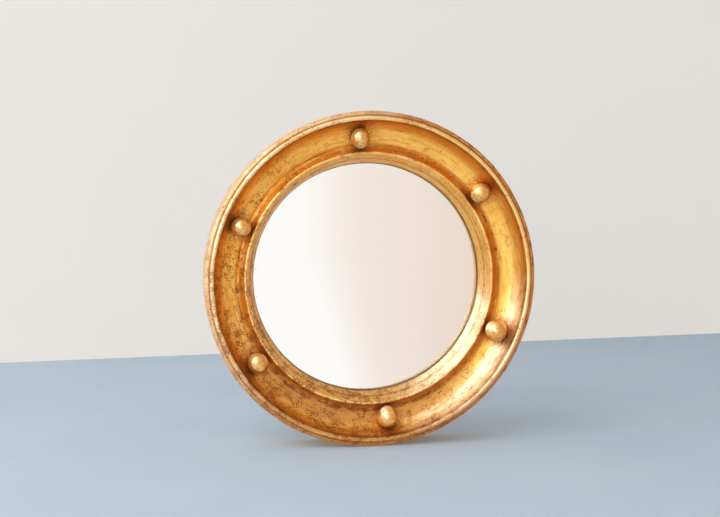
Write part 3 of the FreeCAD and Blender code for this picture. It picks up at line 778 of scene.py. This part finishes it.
def drum_profile():
    """From the land at the wall outwards, up the side, over the joint and back through the pockets."""
    land = (LAND_INNER, 0.0)
    round_start = BACK_RADIUS - BACK_ROUND
    steps = [land]
    steps += line(steps[-1], (round_start, 0.0), 6)
    steps += arc(steps[-1], (BACK_RADIUS, BACK_ROUND), (round_start, BACK_ROUND), 6)
    for corner, count in (
        ((JOINT_RADIUS, DRUM_DEPTH), 14),
        ((HOLLOW_ROOT[0], DRUM_DEPTH), 6),
        ((HOLLOW_ROOT[0], SLIP_SEAT), 3),
        ((GLASS_POCKET, SLIP_SEAT), 3),
        ((GLASS_POCKET, BOARD_FRONT), 3),
        ((BOARD_REBATE, BOARD_FRONT), 3),
        ((BOARD_REBATE, LEDGE_DEPTH), 4),
        ((LAND_INNER, LEDGE_DEPTH), 12),
        (land, 5),
    ):
        steps += line(steps[-1], corner, count)
    return steps[:-1]


def drum_relief(points, radius, out):
    """The rim's broad swells on the side, and none on the land and in the pockets, where other pieces fit."""
    outside = np.clip((radius - 117.0) / 6.0, 0, 1) * np.clip(out / 4.0, 0, 1)
    return broad_swell(points) * outside


drum = lathe("drum", drum_profile(), DRUM_SEGMENTS, drum_material(), drum_relief)
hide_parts("back_ring")


# ---------------------------------------------------------------- balls

BALL_RINGS = 72
BALL_SIDES = 96
FOOT_LIMIT = HOLLOW_RADIUS - 0.08  # no point of a ball lies farther than this from the hollow's centre
SKIRT = 0.55  # how thick the gesso is at a ball's foot
SKIRT_HEIGHT = 0.7  # over which it thins out
TINY = 1e-6  # stands for nothing where a zero would be divided by


def unit_ball():
    """Vertices and faces of a ball of radius 1 whose poles lie on the dowel's line, the foot's first."""
    vertices = [(1.0, 0.0, 0.0)]
    for p in np.linspace(0, math.pi, BALL_RINGS + 1)[1:-1]:
        for t in np.arange(BALL_SIDES) * TAU / BALL_SIDES:
            vertices.append((math.cos(p), math.sin(p) * math.cos(t), math.sin(p) * math.sin(t)))
    vertices.append((-1.0, 0.0, 0.0))
    last = len(vertices) - 1
    tail = 1 + (BALL_RINGS - 2) * BALL_SIDES
    faces = []
    for s in range(BALL_SIDES):
        n = (s + 1) % BALL_SIDES
        faces.append((0, 1 + s, 1 + n))
        faces.append((last, tail + n, tail + s))
        for r in range(BALL_RINGS - 2):
            here, there = 1 + r * BALL_SIDES, 1 + (r + 1) * BALL_SIDES
            faces.append((here + s, there + s, there + n, here + n))
    return np.array(vertices), faces


def make_ball(index):
    """A slightly uneven ball that meets the hollow in a thin skirt of gesso."""
    diameter, _, long_way, round_way, seed = BALLS[index]
    lean = math.radians(BALL_LEAN)
    centre = np.array(ball_centre(index))
    # The dowel's line runs from the ball's centre down into the hollow, and side runs across it.
    down = np.array([math.sin(lean), -math.cos(lean)])
    side = np.array([math.cos(lean), math.sin(lean)])

    def placed(local):
        """Each point's radius along the ball's own clock and its out, and then its true radius."""
        section = centre[None, :] + local[:, :1] * down[None, :] + local[:, 1:2] * side[None, :]
        return section, np.hypot(section[:, 0], local[:, 2])

    unit, faces = unit_ball()
    uneven = 1 + 0.012 * swell(unit * 10, 9, seed) + 0.006 * swell(unit * 10, 3, seed + 1)
    size = diameter / 2 * uneven
    local = unit * size[:, None] * np.array([1.0, long_way, round_way])

    # The skirt widens the ball just above the hollow
    section, flat_radius = placed(local)
    gap = np.hypot(flat_radius - HOLLOW_CENTRE[0], section[:, 1] - HOLLOW_CENTRE[1])
    below = np.maximum(gap - FOOT_LIMIT, 0)
    height = np.maximum(HOLLOW_RADIUS - gap, 0)
    ragged = 1 + 0.4 * swell(unit * 10, 5, seed + 2)
    skirt = SKIRT * np.exp(-height / SKIRT_HEIGHT) * ragged * (below < TINY)
    spread = np.hypot(local[:, 1], local[:, 2])
    local[:, 1:] *= (1 + skirt / np.maximum(spread, TINY))[:, None]

    # What would lie in the wood is drawn back to its surface
    section, flat_radius = placed(local)
    offset = np.stack([flat_radius - HOLLOW_CENTRE[0], section[:, 1] - HOLLOW_CENTRE[1]], axis=1)
    gap = np.linalg.norm(offset, axis=1)
    offset *= (np.minimum(gap, FOOT_LIMIT) / gap)[:, None]
    scale = (HOLLOW_CENTRE[0] + offset[:, 0]) / flat_radius
    out = HOLLOW_CENTRE[1] + offset[:, 1]
    across = section[:, 0] * scale
    along = local[:, 2] * scale
    angle = ball_angle(index)
    x = across * math.cos(angle) - along * math.sin(angle)
    z = across * math.sin(angle) + along * math.cos(angle)
    points = np.stack([x, -out, z], axis=1)
    ball = make_piece(f"gilded_ball_{index + 1}", points, faces, ball_gold(index))
    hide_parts(f"ball_{index + 1}")


for number in range(len(BALLS)):
    make_ball(number)


# ---------------------------------------------------------------- glass

SILVER = srgb(253, 251, 248)
FOXING = srgb(120, 104, 84)
GLASS_EDGE_SHADE = srgb(60, 54, 46)
SILVER_DEPTH = 0.7  # how far behind the plate's front the mirroring face is drawn
GLASS_RINGS = 48
GLASS_SIDES = 240


def silvered_glass():
    """Silvering with a faint haze, a little foxing round its edge, and a painted shade line round its edge
    under the slip.
    """
    surface = Surface("silvered_glass", SILVER, 1.0, 0.015)
    graph = surface.graph
    radius = radius_of(surface)
    haze = graph.noise(surface.point, 30, 3, 0.55, 30.0)
    foxing = graph.noise(surface.point, 2.5, 4, 0.65, 31.0).rise(0.58, 0.72) * radius.rise(83, 89)
    surface.tint(foxing * 0.4, FOXING)
    surface.rough = haze.rise(0.45, 0.75) * 0.03 + 0.012
    # Painted shade: a dark ring just beyond the sight edge, under the slip's lip
    surface.layer(radius.rise(88.6, 89.4) * 0.7, GLASS_EDGE_SHADE, 0.4, 0.5)
    return surface.finish()


def glass_profile():
    """From the axis along the mirroring face to the edge, and back along the plate's back."""
    front = (GLASS_RADIUS**2 + GLASS_SAG**2) / (2 * GLASS_SAG)
    back = front - GLASS_THICKNESS
    face = front - SILVER_DEPTH
    centre_out = GLASS_BACK - math.sqrt(back**2 - GLASS_RADIUS**2)
    outwards = [GLASS_RADIUS * step / GLASS_RINGS for step in range(GLASS_RINGS + 1)]
    steps = [(radius, centre_out + math.sqrt(face**2 - radius**2)) for radius in outwards]
    steps += [(radius, centre_out + math.sqrt(back**2 - radius**2)) for radius in reversed(outwards)]
    return steps


def make_glass():
    """The plate as an opaque mirror, whose face lies a little behind the front of the solid."""
    profile = glass_profile()
    vertices = [(0.0, -profile[0][1], 0.0), (0.0, -profile[-1][1], 0.0)]
    inner = profile[1:-1]
    for s in range(GLASS_SIDES):
        angle = TAU * s / GLASS_SIDES
        vertices += [(radius * math.cos(angle), -out, radius * math.sin(angle)) for radius, out in inner]
    count = len(inner)
    faces = []
    for s in range(GLASS_SIDES):
        here, there = 2 + s * count, 2 + (s + 1) % GLASS_SIDES * count
        faces.append((0, here, there))
        faces.append((1, there + count - 1, here + count - 1))
        for p in range(count - 1):
            faces.append((here + p, here + p + 1, there + p + 1, there + p))
    glass = make_piece("mirror_plate", vertices, faces, silvered_glass())
    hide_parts("mirror_glass")


make_glass()


# ---------------------------------------------------------------- parts that keep their solids


def dress(node, material):
    """Gives a solid of the CAD model a better material."""
    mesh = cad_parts[node].data
    mesh.materials.clear()
    mesh.materials.append(material)


HARDBOARD = srgb(112, 78, 48)
HARDBOARD_DARK = srgb(84, 56, 34)
HARDBOARD_PALE = srgb(136, 100, 66)
CARD = srgb(140, 122, 98)
CARD_DARK = srgb(112, 96, 76)
DOWEL = srgb(206, 174, 128)
DOWEL_GRAIN = srgb(168, 130, 86)
BRASS = srgb(206, 168, 96)
BRASS_TARNISH = srgb(126, 92, 50)
STEEL = srgb(150, 146, 140)
STEEL_RUST = srgb(96, 84, 74)


def hardboard():
    """Fine fibres, with paler clouds."""
    surface = Surface("hardboard", HARDBOARD, 0.0, 0.6)
    graph = surface.graph
    fibre = graph.noise(surface.point, 0.9, 4, 0.7, 40.0)
    cloud = graph.noise(surface.point, 45, 3, 0.6, 41.0)
    surface.tint(fibre.rise(0.4, 0.7) * 0.5, HARDBOARD_DARK)
    surface.tint(cloud.rise(0.5, 0.7) * 0.45, HARDBOARD_PALE)
    surface.raise_by(fibre, 0.05)
    return surface.finish()


def card():
    """Card with fine fibres."""
    surface = Surface("grey_card", CARD, 0.0, 0.85)
    graph = surface.graph
    fibre = graph.noise(surface.point, 0.7, 3, 0.6, 50.0)
    surface.tint(fibre.rise(0.4, 0.7) * 0.5, CARD_DARK)
    surface.raise_by(fibre, 0.03)
    return surface.finish()


def dowel_wood():
    """Bare pale wood with a fine grain."""
    surface = Surface("dowel_wood", DOWEL, 0.0, 0.7)
    graph = surface.graph
    grain = graph.noise(surface.point, 0.8, 3, 0.6, 55.0)
    surface.tint(grain.rise(0.4, 0.65) * 0.6, DOWEL_GRAIN)
    surface.raise_by(grain, 0.02)
    return surface.finish()


def aged_metal(name, bright, dull, seed):
    """Metal that has gone dull in clouds."""
    surface = Surface(name, bright, 1.0, 0.36)
    graph = surface.graph
    cloud = graph.noise(surface.point, 5, 4, 0.6, seed)
    fine = graph.noise(surface.point, 0.7, 3, 0.6, seed + 0.5)
    surface.layer(cloud.rise(0.45, 0.65) * 0.8, dull, 0.7, 0.55)
    surface.rough = graph.math("ADD", surface.rough, (fine - 0.5) * 0.25, clamp=True)
    surface.raise_by(fine, 0.015)
    return surface.finish()


brass = aged_metal("tarnished_brass", BRASS, BRASS_TARNISH, 60.0)
dress("hanger_plate", brass)
dress("hanger_ring", brass)
dress("hanger_screws", brass)
dress("backing_board", hardboard())
dress("glass_packing_ring", card())
dress("ball_dowels", dowel_wood())
dress("backing_pins", aged_metal("dull_steel", STEEL, STEEL_RUST, 65.0))


# ---------------------------------------------------------------- floor, backdrop, light and camera

FLOOR = -RIM_RADIUS
WALL = 480.0  # from the mirror's back to the wall behind it, straight behind
WALL_SLANT = 0.096  # how far that wall runs back for each millimetre to the right
STAGE_HALF = 4000.0
TABLE_BLUE = srgb(191, 207, 222)
WALL_WHITE = srgb(243, 238, 232)
WALL_LIFT = 0.5  # the share of its own light in what the camera sees of the wall
WHITE = (1.0, 1.0, 1.0, 1.0)
ROOM_MIDDLE = (0.9, 0.83, 0.78, 1.0)
ROOM_RIGHT = (0.838, 0.72, 0.63, 1.0)
ROOM_NEAR = 42.0  # a place this near counts as straight ahead, and its side counts more from there on
STUDIO = (1.0, 0.95, 0.885, 1.0)
STUDIO_STRENGTH = 0.56
SURROUND = srgb(236, 233, 228)


def room_colour(graph, across):
    """What metal and glass see of the room: a white window side at the left, beige at the right."""
    right = graph.mix(across.rise(0.15, 0.6), ROOM_MIDDLE, ROOM_RIGHT)
    return graph.mix(across.rise(-0.05, 0.2), WHITE, right)


def ray_masks(graph):
    """1 for rays that metal and glass send out, and 1 for rays from the camera."""
    path = graph.node("ShaderNodeLightPath")
    glossy, through, camera = (
        Field(graph, path.outputs[f"Is {kind} Ray"]) for kind in ("Glossy", "Transmission", "Camera")
    )
    return graph.most(glossy, through), camera


def room_material(name, colour, lift):
    """A plain surface, in whose place metal and glass see the room."""
    material = bpy.data.materials.new(name)
    material.use_nodes = True
    graph = Graph(material.node_tree)
    x, _, _, point = graph.place()
    grain = graph.noise(point, 90, 2, 0.5, 70.0)
    plain = graph.mix(grain.rise(0.3, 0.7) * 0.05, colour, WHITE)
    diffuse = graph.node("ShaderNodeBsdfDiffuse")
    graph.join(plain, diffuse.inputs["Color"])
    seen, camera = ray_masks(graph)
    light = graph.node("ShaderNodeEmission")
    reach = graph.distance(point, (0.0, 0.0, 0.0))
    across = x / reach * (1.0 - graph.math("DIVIDE", ROOM_NEAR, reach))
    graph.join(graph.mix(seen, plain, room_colour(graph, across)), light.inputs["Color"])
    mixer = graph.node("ShaderNodeMixShader")
    graph.join(graph.most(seen, camera * lift), mixer.inputs[0])
    graph.tree.links.new(diffuse.outputs[0], mixer.inputs[1])
    graph.tree.links.new(light.outputs[0], mixer.inputs[2])
    # Seen from behind it is clear, so that the wall doesn't stand in the way of a camera behind the mirror.
    clear = graph.node("ShaderNodeBsdfTransparent")
    side = graph.node("ShaderNodeNewGeometry")
    one_way = graph.node("ShaderNodeMixShader")
    graph.tree.links.new(side.outputs["Backfacing"], one_way.inputs[0])
    graph.tree.links.new(mixer.outputs[0], one_way.inputs[1])
    graph.tree.links.new(clear.outputs[0], one_way.inputs[2])
    output = graph.node("ShaderNodeOutputMaterial")
    graph.tree.links.new(one_way.outputs[0], output.inputs["Surface"])
    return material


def make_stage():
    """A table against a plain wall."""
    half = STAGE_HALF
    for name, part, slant, colour, lift in (
        ("floor", [(-half, FLOOR), (half, FLOOR)], 0.0, TABLE_BLUE, 0.0),
        ("backdrop", [(WALL, FLOOR), (WALL, FLOOR + half)], WALL_SLANT, WALL_WHITE, WALL_LIFT),
    ):
        corners = [(side * half, y + side * half * slant, z) for y, z in part for side in (-1, 1)]
        mesh = smooth_mesh(name, corners, [(0, 1, 3, 2)], room_material(name, colour, lift))
        piece = add_object(name, mesh)


def make_world():
    """Plain soft light, the room for metal and glass, and an off-white surround for the camera."""
    world = bpy.data.worlds.new("studio")
    bpy.context.scene.world = world
    world.use_nodes = True
    graph = Graph(world.node_tree)
    coordinates = graph.node("ShaderNodeTexCoord")
    split = graph.node("ShaderNodeSeparateXYZ")
    graph.tree.links.new(coordinates.outputs["Generated"], split.inputs[0])
    across = Field(graph, split.outputs[0])
    seen, camera = ray_masks(graph)
    colour = graph.mix(camera, graph.mix(seen, STUDIO, room_colour(graph, across)), SURROUND)
    strength = graph.blend(graph.most(seen, camera), STUDIO_STRENGTH, 1.0)
    background = graph.node("ShaderNodeBackground")
    graph.join(colour, background.inputs["Color"])
    graph.join(strength, background.inputs["Strength"])
    output = graph.node("ShaderNodeOutputWorld")
    graph.tree.links.new(background.outputs[0], output.inputs["Surface"])


LAMPS = [
    # name, degrees to the right of straight in front, degrees up, metres away, metres across, watts, colour
    ("key", -60, 36, 1.9, 2.1, 21, (0.93, 0.965, 1.0)),
    ("fill", -26, 10, 2.4, 1.3, 8, (1.0, 0.99, 0.97)),
]


def make_lamp(name, aside, height, distance, size, power, colour):
    """A round soft light that looks at the mirror."""
    lamp = bpy.data.lights.new(name, "AREA")
    lamp.shape = "DISK"
    lamp.size = size
    lamp.energy = power
    lamp.color = colour
    a, e = math.radians(aside), math.radians(height)
    way = Vector((math.sin(a) * math.cos(e), -math.cos(a) * math.cos(e), math.sin(e)))
    turn = way.to_track_quat("Z", "Y").to_matrix().to_4x4()
    add_object(name, lamp).matrix_world = Matrix.Translation(way * distance) @ turn


def make_camera():
    """Stands a little left of and above the mirror's axis."""
    yaw, pitch = math.radians(11.05), math.radians(4.63)
    distance, aside, above = 1150.0, -10.03, 16.23
    right = Vector((math.cos(yaw), -math.sin(yaw), 0))
    up = Vector((math.sin(yaw) * math.sin(pitch), math.cos(yaw) * math.sin(pitch), math.cos(pitch)))
    back = right.cross(up)
    target = Vector((0, -RIM_DEPTH, 0))
    position = (target + right * aside + up * above + back * distance) * MM
    lens = bpy.data.cameras.new("camera")
    lens.sensor_fit = "HORIZONTAL"
    lens.sensor_width = 36.0
    lens.lens = 76.34
    camera = add_object("camera", lens)
    turn = Matrix((right, up, back)).transposed().to_4x4()
    camera.matrix_world = Matrix.Translation(position) @ turn
    bpy.context.scene.camera = camera


make_stage()
make_world()
for settings in LAMPS:
    make_lamp(*settings)
make_camera()
bpy.context.scene.view_settings.view_transform = "Standard"
